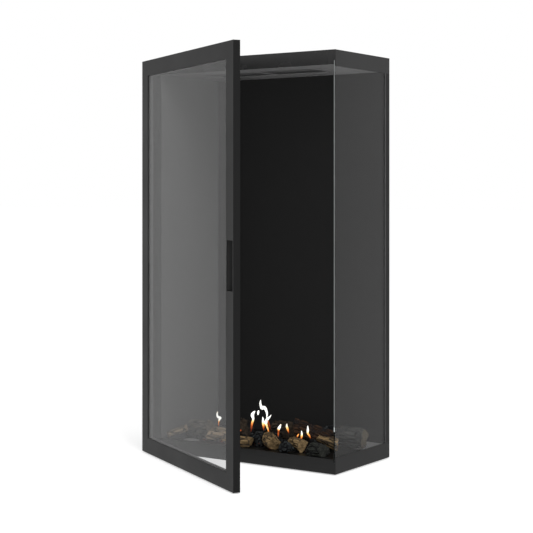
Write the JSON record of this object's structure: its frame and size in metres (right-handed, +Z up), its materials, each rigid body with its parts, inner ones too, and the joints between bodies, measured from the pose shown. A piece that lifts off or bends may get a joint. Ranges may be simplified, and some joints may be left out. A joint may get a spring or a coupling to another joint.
{
  "type": "corner gas fireplace",
  "caption": "Tall corner gas fireplace with a glazed hinged front door, one fixed side pane, a ceramic log bed over a burner and a round flue collar.",
  "frame": {"origin": "centre of the underside of the base plate, where the fireplace rests on the floor", "axes": "+Z up, +X to the right as seen from the front, +Y to the back; the door faces -Y and the side pane faces +X"},
  "size_m": [0.6547, 0.6449, 1.1562],
  "materials": {
    "casing": "satin dark grey powder coat",
    "door_frame": "satin dark grey powder coat",
    "finger_pull": "satin dark grey powder coat",
    "back_liner": "matt black heatproof coat",
    "chamber_liner": "satin grey heatproof coat",
    "floor_plate": "satin steel sheet",
    "burner": "plain stainless sheet",
    "plated_steel": "zinc plated",
    "door_screws": "blackened steel",
    "brass": "plain turned brass",
    "insulation": "matt fibre board",
    "glazing_tape": "woven glass tape",
    "rope_seal": "woven glass rope",
    "glass": "clear ceramic glass",
    "electrode": "glazed ceramic insulator",
    "log_tan": "matt ceramic fibre, painted as split wood",
    "log_brown": "matt ceramic fibre, painted as charred wood",
    "log_grey": "matt ceramic fibre, painted as grey bark",
    "charcoal": "matt ceramic fibre, painted as charcoal"
  },
  "bodies": {
    "firebox": {"base_plate": "casing", "base_tray": "casing", "chamber_floor": "floor_plate", "back_casing": "casing", "back_insulation": "insulation", "back_liner": "back_liner", "left_casing": "casing", "left_insulation": "insulation", "left_liner": "chamber_liner", "corner_post": "casing", "top_casing": "casing", "ceiling_plate": "chamber_liner", "exhaust_baffles": "chamber_liner", "baffle_spacers": "plated_steel", "flue_collar": "plated_steel", "casing_fasteners": "plated_steel", "side_glass": "glass", "side_glass_tape": "glazing_tape", "setting_blocks": "insulation", "side_trim_top": "casing", "side_trim_bottom": "casing", "side_trim_rear": "casing", "burner_pan": "burner", "burner_plate": "burner", "mixing_tube": "burner", "gas_inlet": "brass", "gas_injector": "brass", "pilot_bracket": "burner", "pilot_burner": "burner", "thermocouple": "burner", "spark_electrode": "electrode", "log_prop": "log_tan", "log_left": "log_grey", "log_tan_left": "log_tan", "log_front_left": "log_tan", "log_split": "log_tan", "log_front_mid": "log_tan", "log_bark": "log_brown", "log_front_right": "log_tan", "log_long": "log_grey", "log_stub": "log_brown", "log_back": "log_brown", "log_left_back": "log_brown", "charcoal": "charcoal", "hinge_body_leaves": "casing", "hinge_pins": "plated_steel", "hinge_washers": "brass"},
    "door": {"door_top_rail": "door_frame", "door_bottom_rail": "door_frame", "door_hinge_stile": "door_frame", "door_latch_stile": "door_frame", "door_glass": "glass", "door_glass_tape": "glazing_tape", "glass_beads_short": "door_frame", "glass_beads_long": "door_frame", "pull_cup": "finger_pull", "door_seal": "rope_seal", "catch_magnets": "plated_steel", "hinge_door_leaves": "door_frame", "door_fasteners": "door_screws"}
  },
  "joints": [
    {"name": "door_hinge", "type": "hinge", "parent": "firebox", "child": "door", "pos_m": [-0.3257, -0.15175, 0.578], "axis": [0, 0, -1], "range_deg": [-29.8, 60.2]}
  ]
}
